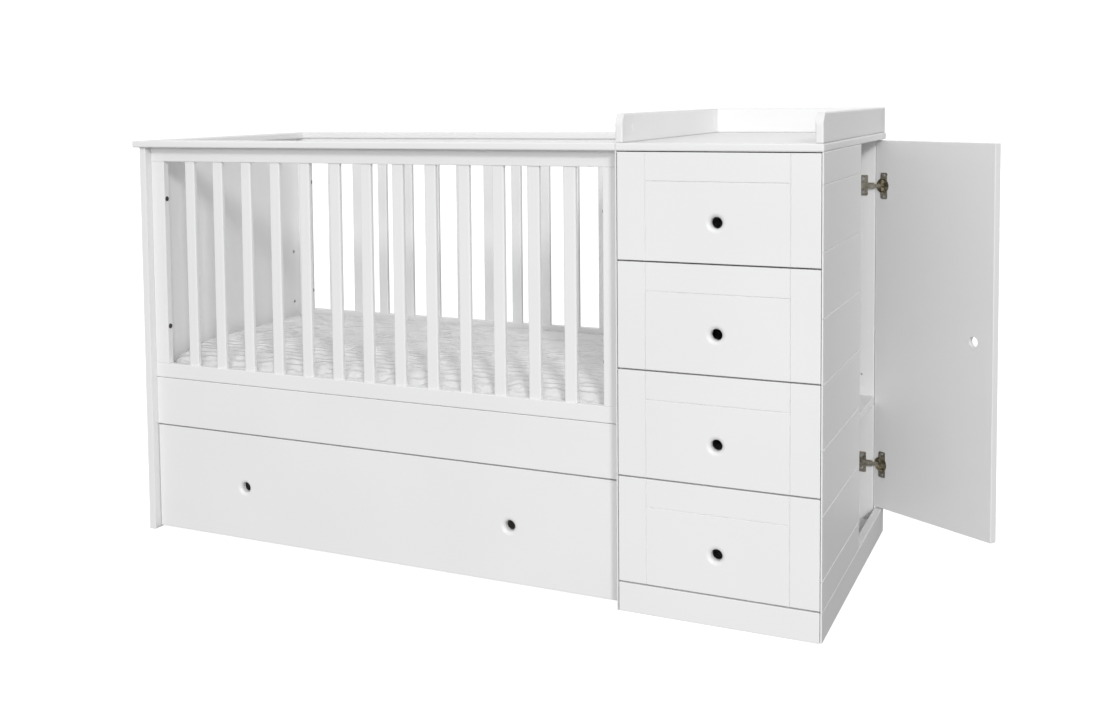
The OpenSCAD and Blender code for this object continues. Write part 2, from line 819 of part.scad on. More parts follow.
module bed_drawer_bottom() {
    color(board_pale)
        in_place()
            translate([bed_box_x0 + bed_box_t - bottom_let, cot_y0 - bottom_let, bed_bottom_z])
                cube([bed_box_x1 - bed_box_x0 - 2 * (bed_box_t - bottom_let),
                      bed_box_d - bed_box_t + 2 * bottom_let, bed_bottom_t]);
}

// A bent steel bracket: a plate under the bottom and two tapered cheeks, bored for the axle
module castor_brackets() {
    h = bed_bottom_z - wheel_z;
    cheek_x = wheel_w / 2 + wheel_gap;
    half = cheek_top_w / 2;
    color(steel_bright)
        in_place()
            for (x = wheel_x, y = wheel_y)
                translate([x, y, wheel_z])
                    difference() {
                        union() {
                            translate([-cheek_x - bracket_lip, -half, h - cheek_t])
                                cube([2 * (cheek_x + bracket_lip), cheek_top_w, cheek_t]);
                            for (side = [-1, 1])
                                translate([side > 0 ? cheek_x : -cheek_x - cheek_t, 0, 0])
                                    rotate([90, 0, 90])
                                        linear_extrude(cheek_t)
                                            polygon(concat(
                                                [[half, h - cheek_t / 2], [-half, h - cheek_t / 2],
                                                 [-half, h - cheek_drop]],
                                                arc_points([0, 0], cheek_low_r, 180 + cheek_turn,
                                                           360 - cheek_turn, 8),
                                                [[half, h - cheek_drop]]));
                        }
                        rod_x(-cheek_x - 2 * cheek_t, cheek_x + 2 * cheek_t, axle_r + hole_fit);
                    }
}

module castor_axles() {
    reach = wheel_w / 2 + wheel_gap + cheek_t;
    color(steel_bright)
        in_place()
            for (x = wheel_x, y = wheel_y)
                translate([x, y, wheel_z]) {
                    rod_x(-reach - axle_head_h, reach + axle_head_h, axle_r);
                    rod_x(-reach - axle_head_h, -reach, axle_head_r);
                    rod_x(reach, reach + axle_head_h, axle_head_r);
                }
}

// A wheel with a rounded tread, a recessed disc and a hub, turned about X
module castor_wheel(ix, iy) {
    half = wheel_w / 2;
    rim_r = wheel_r * rim_share;
    hub_r = axle_r + hub_wall;
    web = half - disc_recess;
    color(rubber_grey)
        in_place()
            translate([wheel_x[ix], wheel_y[iy], wheel_z])
                rotate([0, 90, 0])
                    rotate_extrude($fn = wheel_fn)
                        polygon(concat(
                            [[axle_r + pin_fit, -half], [hub_r, -half], [hub_r + 1, -web], [rim_r, -web],
                             [rim_r + 1, -half]],
                            arc_points([wheel_r - tread_r, -half + tread_r], tread_r, -90, 0, 3),
                            arc_points([wheel_r - tread_r, half - tread_r], tread_r, 0, 90, 3),
                            [[rim_r + 1, half], [rim_r, web], [hub_r + 1, web], [hub_r, half],
                             [axle_r + pin_fit, half]]));
}

// ---- chest: case ----

// Rabbet that leaves only the side panels' lip beside the fronts; x0 is the cut's low side
module front_rabbet(x0) {
    translate([x0, -cut, -cut])
        cube([board_t - side_lip + cut, rabbet_d + cut, panel_h + 2 * cut]);
}

// Holes for the shelf pins in the face at y, cut towards dir
module shelf_pin_holes(y, dir) {
    for (x = shelf_pin_x, z = [shelf_pin_z, shelf_pin_z + shelf_pin_step])
        translate([x, y, z])
            rotate([-90 * dir, 0, 0])
                translate([0, 0, -cut])
                    cylinder(r = shelf_pin_r + hole_fit, h = shelf_pin_bite + 2 * cut, $fn = cutter_fn);
}

module chest_side_left() {
    color(paint_white)
        in_place()
            difference() {
                board([board_t, chest_d, panel_h]);
                front_rabbet(side_lip);
                insert_holes(0, 1);
                stile_bolt_holes(0, 1);
            }
}

// Board beside the drawers, with level V grooves on its outer face
module chest_side_right() {
    color(paint_white)
        in_place()
            difference() {
                translate([chest_in_x1, 0, plinth_h])
                    board([board_t, side_board_d, side_board_h]);
                front_rabbet(chest_in_x1 - cut);
                side_grooves(-cut, side_board_d + cut);
            }
}

// Cutters for the level grooves in the chest's right face, from y0 to y1
module side_grooves(y0, y1) {
    for (i = [0 : side_groove_n - 1])
        translate([chest_w, y0, side_groove_z0 + i * side_groove_pitch])
            rotate([0, 0, 90])
                groove_x(y1 - y0);
}

module chest_rear_wall() {
    color(paint_inside)
        in_place()
            difference() {
                translate([chest_in_x0, rear_wall_y0, 0])
                    board([rear_wall_x1 - chest_in_x0, board_t, panel_h]);
                shelf_pin_holes(rear_wall_y0, 1);
                plate_screw_holes();
            }
}

module chest_divider() {
    color(paint_inside)
        in_place()
            difference() {
                translate([chest_in_x0, divider_y0, floor_top_z])
                    board([chest_in_x1 - chest_in_x0, board_t, panel_h - floor_top_z]);
                shelf_pin_holes(side_board_d, -1);
            }
}

module chest_floor() {
    color(paint_inside)
        in_place()
            translate([chest_in_x0, rabbet_d, floor_top_z - board_t])
                board([chest_in_x1 - chest_in_x0, rear_wall_y0 - rabbet_d, board_t]);
}

module plinth_front() {
    color(paint_white)
        in_place()
            translate([front_x0, 0, 0])
                board([front_w, board_t, plinth_h]);
}

module plinth_side() {
    color(paint_white)
        in_place()
            difference() {
                translate([chest_in_x1, 0, 0])
                    board([board_t, chest_d, plinth_h]);
                front_rabbet(chest_in_x1 - cut);
            }
}

module top_board() {
    color(paint_white)
        in_place()
            translate([0, 0, panel_h])
                board([chest_w, chest_d, cap_t], 2 * arris);
}

module cupboard_shelf() {
    color(paint_inside)
        in_place()
            translate([chest_in_x0 + let_fit, side_board_d + let_fit, shelf_z])
                board([shelf_x1 - chest_in_x0, rear_wall_y0 - side_board_d - 2 * let_fit, board_t]);
}

module shelf_pins() {
    color(steel_bright)
        in_place()
            for (x = shelf_pin_x, y = [side_board_d - shelf_pin_bite, rear_wall_y0 - shelf_pin_out])
                translate([x, y, shelf_pin_z])
                    rotate([-90, 0, 0])
                        cylinder(r = shelf_pin_r, h = shelf_pin_bite + shelf_pin_out, $fn = cutter_fn);
}

// ---- chest: changing tray ----

// A side border: front top corner rounded, with two small upright slots in its inner face
module tray_side(x0, inner_x, dir) {
    y0 = tray_step;
    len_y = tray_y1 - tray_t - y0;
    color(paint_white)
        in_place()
            difference() {
                intersection() {
                    translate([x0, y0, tray_z])
                        board([tray_t, len_y, tray_h], 2 * arris);
                    translate([x0 - cut, y0, tray_z])
                        rotate([90, 0, 90])
                            linear_extrude(tray_t + 2 * cut)
                                polygon(concat(
                                    [[0, 0], [len_y, 0], [len_y, tray_h]],
                                    arc_points([tray_front_r, tray_h - tray_front_r], tray_front_r,
                                               90, 180, 8)));
                }
                for (y = tray_slot_y)
                    translate([inner_x - (dir > 0 ? cut : tray_slot_d), y - tray_slot_w / 2,
                               tray_slot_z - tray_slot_h / 2])
                        cube([tray_slot_d + cut, tray_slot_w, tray_slot_h]);
            }
}

module tray_side_left() {
    tray_side(tray_step, tray_step + tray_t, -1);
}

module tray_side_right() {
    tray_side(chest_w - tray_step - tray_t, chest_w - tray_step - tray_t, 1);
}

module tray_back() {
    color(paint_white)
        in_place()
            translate([tray_step, tray_y1 - tray_t, tray_z])
                board([chest_w - 2 * tray_step, tray_t, tray_h], 2 * arris);
}

// ---- chest: drawers ----

// Drawer front i, counted from the top, with its grooves, finger hole and the bottom's groove
module drawer_front(i) {
    z0 = front_z0 + (drawer_n - i) * front_pitch;
    color(paint_white)
        in_place()
            difference() {
                translate([front_x0, 0, z0])
                    board([front_w, board_t, front_h]);
                for (x = [front_x0 + groove_inset, front_x1 - groove_inset])
                    translate([x, 0, z0 - cut])
                        groove_z(front_h + 2 * cut);
                translate([front_x0 + groove_inset, 0, z0 + front_h - groove_inset])
                    groove_x(front_w - 2 * groove_inset);
                translate([chest_w / 2, 0, z0 + hole_rise])
                    rotate([-90, 0, 0])
                        finger_hole();
                bottom_groove(z0 + box_rise);
            }
}

// Space of a drawer's bottom, with its fit; z is the lower edge of the drawer's sides
module bottom_groove(z) {
    translate([box_x0 + box_t - bottom_let - let_fit, box_y0 - bottom_let - let_fit,
               z + bottom_rise - let_fit])
        cube([box_x1 - box_x0 - 2 * (box_t - bottom_let - let_fit),
              box_d - box_t + 2 * (bottom_let + let_fit), bottom_t + 2 * let_fit]);
}

// Sides with a groove for the runners, back and bottom of drawer i
module drawer_box(i) {
    z0 = front_z0 + (drawer_n - i) * front_pitch + box_rise;
    slot = box_side_gap + slide_fit;
    color(paint_inside)
        in_place() {
            difference() {
                for (x = [box_x0, box_x1 - box_t])
                    translate([x, box_y0, z0])
                        board([box_t, box_d, box_h]);
                bottom_groove(z0);
                for (x = [box_x0 - cut, box_x1 - runner_w + slot - 2 * slide_fit])
                    translate([x, runner_y0 - runner_lead, z0 + runner_rise - slide_fit])
                        cube([runner_w - slot + 2 * slide_fit + cut, box_d, runner_h + 2 * slide_fit]);
            }
            difference() {
                translate([box_x0 + box_t + let_fit, box_y1 - box_t, z0])
                    board([box_x1 - box_x0 - 2 * (box_t + let_fit), box_t, box_h]);
                bottom_groove(z0);
            }
            translate([box_x0 + box_t - bottom_let, box_y0 - bottom_let, z0 + bottom_rise])
                cube([box_x1 - box_x0 - 2 * (box_t - bottom_let), box_d - box_t + 2 * bottom_let,
                      bottom_t]);
        }
}

// Wooden runners in the chest, a pair for each drawer, and the strips that guide the low drawer
module drawer_runners() {
    color(birch_pale)
        in_place() {
            for (i = [1 : drawer_n], x = [chest_in_x0, chest_in_x1 - runner_w])
                translate([x, runner_y0,
                           front_z0 + (drawer_n - i) * front_pitch + box_rise + runner_rise])
                    cube([runner_w, divider_y0 - runner_y0, runner_h]);
            for (span = [[cot_x0, bed_box_x0 - slide_fit], [bed_box_x1 + slide_fit, 0]])
                translate([span[0], cot_y0 + guide_front, guide_z])
                    cube([span[1] - span[0], bed_box_d - guide_front, guide_h]);
        }
}

// ---- cupboard door and its hinges ----

module door() {
    color(paint_white)
        door_in_place()
            difference() {
                translate([chest_in_x1, door_y0, door_z0])
                    board([board_t, door_y1 - door_y0, door_z1 - door_z0]);
                side_grooves(door_y0 - cut, door_y1 + cut);
                translate([chest_w, door_y0 + door_hole_inset, (door_z0 + door_z1) / 2])
                    rotate([0, -90, 0])
                        finger_hole();
                for (z = hinge_z)
                    translate([0, cup_y, z])
                        rod_x(chest_in_x1 - cut, chest_in_x1 + cup_depth + hole_fit, cup_r + hole_fit);
                cup_screw_holes(screw_r + hole_fit);
            }
}

// Cutters or shanks for the screws that hold the cups, four in all
module cup_screw_holes(r) {
    for (z = hinge_z, side = [-1, 1])
        translate([0, flange_screw_y, z + side * flange_screw_z])
            rod_x(chest_in_x1 - flange_t, chest_in_x1 + screw_l, r);
}

// Steel cups with a flange; two ears inside carry the pivot pin
module hinge_cups() {
    x_face = chest_in_x1;
    ear_w = 2 * eye_r + 1;
    color(steel_dark)
        door_in_place()
            for (z = hinge_z)
                translate([0, cup_y, z])
                    difference() {
                        union() {
                            difference() {
                                union() {
                                    rod_x(x_face - flange_t, x_face + cup_depth, cup_r);
                                    cup_flange();
                                }
                                rod_x(x_face - flange_t - cut, x_face + cup_in_depth, cup_in_r);
                            }
                            intersection() {
                                rod_x(x_face, x_face + cup_depth, cup_r - cup_wall / 2);
                                for (side = [0, 1])
                                    mirror([0, 0, side])
                                        translate([pivot_x - ear_w / 2, pivot_y - cup_y - ear_w / 2,
                                                   neck_h / 2 + ear_gap])
                                            cube([cup_in_depth + x_face - pivot_x + ear_w / 2 + 0.2,
                                                  cup_r, ear_h + cup_r]);
                            }
                        }
                        translate([pivot_x, pivot_y - cup_y, -cup_r])
                            cylinder(r = pivot_r + hole_fit, h = 2 * cup_r, $fn = cutter_fn);
                        for (side = [-1, 1])
                            translate([0, flange_screw_y - cup_y, side * flange_screw_z])
                                rod_x(x_face - flange_t - cut, x_face + cut, screw_r + hole_fit);
                    }
}

// Flange of a cup on the door's inner face, about the cup's centre
module cup_flange() {
    y0 = door_y1 - flange_far - cup_y;
    y1 = door_y1 - flange_near - cup_y;
    translate([chest_in_x1 - flange_t, y0, -flange_h / 2])
        rotate([90, 0, 90])
            linear_extrude(flange_t)
                polygon(round_outline(y1 - y0, flange_h, flange_corner_r, 4));
}

module hinge_pins() {
    half = neck_h / 2 + ear_gap + ear_h;
    color(steel_bright)
        door_in_place()
            for (z = hinge_z)
                translate([pivot_x, pivot_y, z - half])
                    cylinder(r = pivot_r, h = 2 * half, $fn = cutter_fn);
}

module cup_screws() {
    x = chest_in_x1 - flange_t;
    color(steel_bright)
        door_in_place() {
            for (z = hinge_z, side = [-1, 1])
                translate([0, flange_screw_y, z + side * flange_screw_z]) {
                    rod_x(x, chest_in_x1 + screw_l, screw_r);
                    rod_x(x - screw_head_h, x, screw_head_r);
                }
        }
}

// Fixed arms: a channel clamped over the plate's rib, ending in a swan neck with the pivot's eye
module hinge_arms() {
    color(steel_dark)
        in_place()
            for (z = hinge_z)
                translate([0, 0, z])
                    difference() {
                        union() {
                            translate([arm_x0, arm_web_y, -arm_h / 2])
                                cube([arm_x1 - arm_x0, arm_wall, arm_h]);
                            for (side = [-arm_h / 2, arm_h / 2 - arm_wall])
                                translate([arm_x0, arm_web_y, side])
                                    cube([arm_x1 - arm_x0, arm_wall + arm_flange_d, arm_wall]);
                            translate([arm_x1 - neck_lap, arm_web_y, -neck_h / 2])
                                cube([pivot_x + neck_t / 2 - arm_x1 + neck_lap, neck_t, neck_h]);
                            translate([pivot_x - neck_t / 2, neck_y, -neck_h / 2])
                                cube([neck_t, neck_reach, neck_h]);
                            translate([pivot_x, pivot_y, -neck_h / 2])
                                cylinder(r = eye_r, h = neck_h, $fn = cutter_fn);
                        }
                        translate([pivot_x, pivot_y, -neck_h])
                            cylinder(r = pivot_r + pin_fit, h = 2 * neck_h, $fn = cutter_fn);
                        arm_screw(screw_r + hole_fit);
                    }
}

// Shank or bore of the screw that clamps an arm to its plate
module arm_screw(r) {
    translate([arm_screw_x, arm_web_y - cut, 0])
        rotate([-90, 0, 0])
            cylinder(r = r, h = rear_wall_y0 - arm_web_y - plate_t + cut, $fn = cutter_fn);
}

// Mounting plates: two wings with screws and a rib that the arm grips
module hinge_plates() {
    color(steel_dark)
        in_place()
            for (z = hinge_z)
                translate([0, 0, z])
                    difference() {
                        union() {
                            translate([plate_mid_x - plate_w / 2, rear_wall_y0 - plate_t,
                                       -plate_h / 2])
                                rotate([-90, 0, 0])
                                    translate([0, -plate_h, 0])
                                        linear_extrude(plate_t)
                                            polygon(round_outline(plate_w, plate_h,
                                                                  plate_corner_r, 4));
                            translate([rib_x0, plate_rib_y, -rib_h / 2])
                                cube([rib_x1 - rib_x0, rear_wall_y0 - plate_rib_y, rib_h]);
                        }
                        arm_screw(screw_r + hole_fit);
                        for (side = [-1, 1])
                            translate([plate_mid_x, rear_wall_y0 - plate_t - cut,
                                       side * plate_screw_z])
                                rotate([-90, 0, 0])
                                    cylinder(r = screw_r + hole_fit, h = plate_t + 2 * cut,
                                             $fn = cutter_fn);
                    }
}

module plate_screw_holes() {
    for (z = hinge_z, side = [-1, 1])
        translate([plate_mid_x, rear_wall_y0 - cut, z + side * plate_screw_z])
            rotate([-90, 0, 0])
                cylinder(r = screw_r + hole_fit, h = screw_l + cut, $fn = cutter_fn);
}

// Screws of the plates and the clamping screws of the arms
module plate_screws() {
    color(steel_bright)
        in_place()
            for (z = hinge_z)
                translate([0, 0, z]) {
                    for (side = [-1, 1])
                        translate([plate_mid_x, rear_wall_y0 - plate_t - screw_head_h,
                                   side * plate_screw_z])
                            rotate([-90, 0, 0]) {
                                cylinder(r = screw_head_r, h = screw_head_h, $fn = small_fn);
                                cylinder(r = screw_r, h = screw_head_h + plate_t + screw_l - cut,
                                         $fn = cutter_fn);
                            }
                    translate([arm_screw_x, arm_web_y - screw_head_h, 0])
                        rotate([-90, 0, 0]) {
                            cylinder(r = screw_head_r, h = screw_head_h, $fn = small_fn);
                            cylinder(r = screw_r,
                                     h = rear_wall_y0 - plate_t - arm_web_y + screw_head_h - 0.2,
                                     $fn = cutter_fn);
                        }
                }
}

// ---- what is drawn ----

end_panel();
cap_front();
cap_back();
cap_end();
top_rail(front_y0);  // front_top_rail
low_rail(front_y0, front_low_rail_h);  // front_low_rail
stiles(front_y0, front_low_rail_h);  // front_stiles
slats(front_y0, front_low_rail_h);  // front_slats
apron(front_y0);  // front_apron
top_rail(cot_y1);  // back_top_rail
low_rail(cot_y1, back_low_rail_h);  // back_low_rail
stiles(cot_y1, back_low_rail_h);  // back_stiles
slats(cot_y1, back_low_rail_h);  // back_slats
apron(cot_y1);  // back_apron
stile_bolts();
base_side_rails();
base_end_rails();
base_slats();
base_bolts();
base_inserts();
mattress();
bed_drawer_front();
bed_drawer_sides();
bed_drawer_back();
bed_drawer_bottom();
castor_brackets();
castor_axles();
castor_wheel(0, 0);  // wheel_front_left
castor_wheel(1, 0);  // wheel_front_right
castor_wheel(0, 1);  // wheel_back_left
castor_wheel(1, 1);  // wheel_back_right
chest_side_left();
chest_side_right();
chest_rear_wall();
chest_divider();
chest_floor();
plinth_front();
plinth_side();
cupboard_shelf();
shelf_pins();
top_board();
tray_side_left();
tray_side_right();
tray_back();
drawer_front(1);  // drawer_1_front
drawer_front(2);  // drawer_2_front
drawer_front(3);  // drawer_3_front
drawer_front(4);  // drawer_4_front
drawer_box(1);  // drawer_1_box
drawer_box(2);  // drawer_2_box
drawer_box(3);  // drawer_3_box
drawer_box(4);  // drawer_4_box
drawer_runners();
door();
hinge_cups();
hinge_pins();
cup_screws();
hinge_arms();
hinge_plates();
plate_screws();
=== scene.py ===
# %% [markdown]
# # A crib with a changing chest beside it
# This lesson dresses a crib whose solids come ready made. The boards, slats,
# drawers and hinges keep the shapes they have, and each gets the finish of
# the real one. The mattress is soft, so it is made again here as a padded
# piece. The camera comes first, so that each step can be looked at through
# it, and the floor and the light come last.
#
# The first cell loads the solids and the record that comes with them.

# %% Load the solids
import json
import math

import bmesh
import bpy
from mathutils import Matrix, Vector, noise


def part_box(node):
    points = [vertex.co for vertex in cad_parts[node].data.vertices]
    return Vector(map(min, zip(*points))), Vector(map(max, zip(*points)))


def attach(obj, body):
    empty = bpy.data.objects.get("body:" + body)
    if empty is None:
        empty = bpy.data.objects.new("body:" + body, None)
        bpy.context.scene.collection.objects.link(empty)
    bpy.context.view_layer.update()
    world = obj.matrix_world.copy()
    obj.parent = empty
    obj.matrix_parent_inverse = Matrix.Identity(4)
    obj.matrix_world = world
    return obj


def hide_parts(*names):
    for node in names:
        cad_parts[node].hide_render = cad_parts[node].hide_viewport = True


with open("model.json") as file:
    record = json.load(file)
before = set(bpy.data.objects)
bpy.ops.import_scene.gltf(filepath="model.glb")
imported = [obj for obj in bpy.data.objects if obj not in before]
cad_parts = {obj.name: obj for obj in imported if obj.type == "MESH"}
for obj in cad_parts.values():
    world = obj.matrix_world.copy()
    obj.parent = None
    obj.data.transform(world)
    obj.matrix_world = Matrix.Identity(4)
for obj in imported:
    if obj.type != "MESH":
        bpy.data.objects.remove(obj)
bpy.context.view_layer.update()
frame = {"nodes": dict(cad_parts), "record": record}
nodes = frame["nodes"]
print("solids:", len(nodes))


# %% [markdown]
# ## The camera
# Furniture keeps its proportions when the lens is about as high as its top,
# so the camera stands a little over a metre up. It is 2.5 m in front of the
# drawers and half a metre to the right of the chest, turned to the left. Its
# place is measured from the chest's own faces, so it follows them. A camera
# looks along its own -Z with Y upwards, so its directions go into its matrix
# as right, up and back.

# %% Where the camera stands
TURN_LEFT = math.radians(26.57)
LOOK_DOWN = math.radians(3.69)
LEAN = math.radians(0.75)
RIGHT_OF_CHEST = 0.4957
BEFORE_FRONTS = 2.5197
EYE_HEIGHT = 1.0586

chest_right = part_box("chest_side_right")[1][0]
fronts_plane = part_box("drawer_1_front")[0][1]
turn = Matrix.Rotation(TURN_LEFT, 3, "Z")
tilt = Matrix.Rotation(-LOOK_DOWN, 3, "X")
lean = Matrix.Rotation(LEAN, 3, "Y")
axes = turn @ tilt @ lean
right, ahead, up = axes.col[0], axes.col[1], axes.col[2]
placed = Matrix.Identity(4)
for row in range(3):
    placed[row][0] = right[row]
    placed[row][1] = up[row]
    placed[row][2] = -ahead[row]
placed[0][3] = chest_right + RIGHT_OF_CHEST
placed[1][3] = fronts_plane - BEFORE_FRONTS
placed[2][3] = EYE_HEIGHT
print("camera looks along", [round(v, 3) for v in ahead])


# %% [markdown]
# The camera looks almost level, so upright edges stay upright. The frame is
# moved with the lens shift, as a view camera does, and not by tilting.

# %% Set up the camera
SENSOR_WIDTH = 36.0
LENS = 43.29
SHIFT_X = 0.0824
SHIFT_Y = -0.1576
FARTHEST = 200.0

camera_data = bpy.data.cameras.new("camera")
camera_data.sensor_fit = "HORIZONTAL"
camera_data.sensor_width = SENSOR_WIDTH
camera_data.lens = LENS
camera_data.shift_x = SHIFT_X
camera_data.shift_y = SHIFT_Y
camera_data.clip_end = FARTHEST
camera = bpy.data.objects.new("camera", camera_data)
bpy.context.scene.collection.objects.link(camera)
camera.matrix_world = placed
bpy.context.scene.camera = camera
print("camera stands at", [round(v, 3) for v in camera.location])


# %% [markdown]
# ## Helpers for materials
# Every finish here is a Principled shader with a few nodes in front of it.
# The first helper makes the shader, and returns two small functions: one adds
# a node, the other plugs a node into the shader. So each finish below reads
# as a short list. A number that is the same all over the surface is set on
# the shader itself. Patterns read Object coordinates: the mesh is placed in
# the object's own space, so they stay where they are when a drawer moves.

# %% A new finish
def new_finish(name, colour, roughness, metallic=0.0):
    """A material; returned with a node maker and a plug into its shader."""
    material = bpy.data.materials.new(name)
    material.use_nodes = True
    tree = material.node_tree
    shader = tree.nodes["Principled BSDF"]
    shader.inputs["Base Color"].default_value = (*colour, 1.0)
    shader.inputs["Roughness"].default_value = roughness
    shader.inputs["Metallic"].default_value = metallic

    def add(kind, links=None, **settings):
        node = tree.nodes.new(kind)
        for key, value in settings.items():
            if hasattr(node, key):
                setattr(node, key, value)
            else:
                node.inputs[key.replace("_", " ")].default_value = value
        for socket, source in (links or {}).items():
            tree.links.new(source, node.inputs[socket])
        return node

    def plug(source, socket):
        tree.links.new(source, shader.inputs[socket])

    return material, add, plug


finishes = {}
print("finishes to come for", len(nodes), "solids")


# %% [markdown]
# Three things come back in most of the finishes: two close tones in soft
# patches, a pattern moved into a narrow range, and a fine relief, which
# tilts the shading and leaves the mesh as it is. They are written once.

# %% Patterns that the finishes share
PATCH_EDGES = (0.35, 0.65)


def mottled(add, plug, place, light, dark, size, detail=2.0):
    """Two close tones in soft patches, wired to the base colour."""
    patches = add("ShaderNodeTexNoise", {"Vector": place}, Scale=size, Detail=detail)
    tones = add("ShaderNodeValToRGB", {"Fac": patches.outputs["Fac"]})
    stops = tones.color_ramp.elements
    for stop, edge, tone in zip(stops, PATCH_EDGES, (dark, light)):
        stop.position = edge
        stop.color = (*tone, 1.0)
    plug(tones.outputs["Color"], "Base Color")
    return patches.outputs["Fac"]


def between(add, source, low, high):
    """The value of a pattern, moved from 0..1 into low..high."""
    spread = add("ShaderNodeMapRange", {"Value": source}, To_Min=low, To_Max=high)
    return spread.outputs["Result"]


def relief(add, plug, height, strength, distance):
    """A pattern as a fine relief, wired to the normal."""
    heights = {"Height": height}
    bump = add("ShaderNodeBump", heights, Strength=strength, Distance=distance)
    plug(bump.outputs["Normal"], "Normal")


print("patches change their tone between", *PATCH_EDGES, "of the noise")


# %% [markdown]
# ## White paint
# The fronts, the slats and the chest are sprayed with a white satin lacquer.
# Sprayed lacquer is never quite flat: it has a faint orange peel, a ripple of
# about two millimetres that only shows in the gloss. Noise does this well, so
# a fine noise drives a very weak bump, and a broad noise moves the roughness
# and the tone by a trace, which keeps large fronts from looking like plastic.

# %% White paint, outside and inside
def painted(name, tone, darker, roughness, peel):
    """Satin lacquer: faint patches, uneven gloss and orange peel."""
    material, add, plug = new_finish(name, tone, roughness)
    place = add("ShaderNodeTexCoord").outputs["Object"]
    broad = mottled(add, plug, place, tone, darker, size=3.0)
    plug(between(add, broad, roughness - 0.04, roughness + 0.05), "Roughness")
    ripple = add("ShaderNodeTexNoise", {"Vector": place}, Scale=420.0, Detail=1.0)
    relief(add, plug, ripple.outputs["Fac"], strength=peel, distance=0.0004)
    return material


# Tone, darker patches, roughness and orange peel of each paint.
PAINTS = {
    "paint_white": ((0.84, 0.84, 0.84), (0.825, 0.825, 0.828), 0.42, 0.12),
    "paint_inside": ((0.79, 0.79, 0.788), (0.77, 0.77, 0.77), 0.55, 0.2),
    "drawer_board": ((0.70, 0.70, 0.695), (0.68, 0.68, 0.67), 0.6, 0.3),
}
for name, look in PAINTS.items():
    finishes[name] = painted(name, *look)
print("paints:", sorted(finishes))


# %% [markdown]
# ## Birch
# The slatted base under the mattress and the runners of the drawers are bare
# birch. The grain runs along Y, the way of the slats and the runners. It
# could be a wave pattern, but birch has faint, broken lines, so a noise is
# stretched far along that axis and squeezed across it.

# %% Birch
def birch_finish():
    """Bare birch: pale, with fine grain along Y and soft flecks."""
    material, add, plug = new_finish("birch", (0.66, 0.50, 0.32), 0.55)
    place = add("ShaderNodeTexCoord").outputs["Object"]
    along = add("ShaderNodeMapping", {"Vector": place})
    along.inputs["Scale"].default_value = (60.0, 2.2, 60.0)
    light, dark = (0.72, 0.56, 0.37), (0.58, 0.42, 0.25)
    lengthwise = along.outputs["Vector"]
    grain = mottled(add, plug, lengthwise, light, dark, size=2.0, detail=6.0)
    relief(add, plug, grain, strength=0.25, distance=0.0004)
    return material


finishes["birch"] = birch_finish()
print("finishes so far:", len(finishes))


# %% [markdown]
# ## Steel and rubber
# The hinges have a warm nickel plating and the screws are bright zinc. Both
# are metals, whose brushed look comes from a noise in the roughness. The
# bolts through the stiles have dark heads, so they get a finish of their own.
# The wheels are a matt grey rubber with a faint grain.

# %% Steel
def metal_finish(name, light, dark, roughness):
    """Plated steel with fine brushing in its gloss."""
    material, add, plug = new_finish(name, light, roughness, metallic=1.0)
    place = add("ShaderNodeTexCoord").outputs["Object"]
    mottled(add, plug, place, light, dark, size=90.0)
    fine = add("ShaderNodeTexNoise", {"Vector": place}, Scale=700.0, Detail=3.0)
    brushed = between(add, fine.outputs["Fac"], roughness - 0.1, roughness + 0.12)
    plug(brushed, "Roughness")
    return material


nickel, nickel_dark = (0.60, 0.56, 0.47), (0.40, 0.37, 0.30)
zinc, zinc_dark = (0.74, 0.75, 0.76), (0.62, 0.63, 0.65)
iron, iron_dark = (0.14, 0.13, 0.12), (0.07, 0.065, 0.06)
finishes["hinge_steel"] = metal_finish("hinge_steel", nickel, nickel_dark, 0.26)
finishes["steel_bright"] = metal_finish("steel_bright", zinc, zinc_dark, 0.28)
bolt_finish = metal_finish("dark_bolts", iron, iron_dark, 0.3)
print("finishes so far:", len(finishes))


# %% Rubber
def rubber_finish():
    """Matt grey rubber with a fine grain."""
    material, add, plug = new_finish("wheel_rubber", (0.12, 0.125, 0.13), 0.7)
    place = add("ShaderNodeTexCoord").outputs["Object"]
    light, dark = (0.14, 0.145, 0.15), (0.10, 0.10, 0.105)
    grain = mottled(add, plug, place, light, dark, size=60.0)
    relief(add, plug, grain, strength=0.3, distance=0.0003)
    return material


finishes["wheel_rubber"] = rubber_finish()
print("finishes so far:", len(finishes))


# %% [markdown]
# ## Cotton for the mattress
# The mattress has a white cotton cover, quilted in fine, wandering lines.
# Its large waves are modelled later. Here come the small things that the eye
# reads as cloth. The first is the tone: a soft mottle, and painted shade: the
# cotton is made greyer down the sides than on the top, where the real sides lie
# in the shade of the rails and slats, so the tone changes with the height.

# %% The cotton's tone
def mottle_and_side_shade(add, place, shade_start_z, top_z):
    """A soft mottle, with painted shade making the sides greyer."""
    height = add("ShaderNodeSeparateXYZ", {"Vector": place}).outputs["Z"]
    patches = add("ShaderNodeTexNoise", {"Vector": place}, Scale=26.0, Detail=4.0)
    mottle = between(add, patches.outputs["Fac"], 0.82, 0.88)
    # Painted shade: the colour gets greyer from just under the top down the sides.
    side_shade = add(
        "ShaderNodeMapRange", {"Value": height}, interpolation_type="SMOOTHSTEP",
        From_Min=shade_start_z, From_Max=top_z, To_Min=0.88, To_Max=1.0,
    )
    factors = {0: mottle, 1: side_shade.outputs["Result"]}
    return add("ShaderNodeMath", factors, operation="MULTIPLY").outputs["Value"]


# How far under the top the painted shade on the sides begins, and where it is gone.
SHADE_START_BELOW_TOP = 0.03
SHADE_END_ABOVE_TOP = 0.002
mattress_low, mattress_high = (Vector(corner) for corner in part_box("mattress"))
shade_start_z = mattress_high.z - SHADE_START_BELOW_TOP
shade_end_z = mattress_high.z + SHADE_END_ABOVE_TOP
print("the tone fades from", round(shade_end_z, 3), "to", round(shade_start_z, 3), "m")


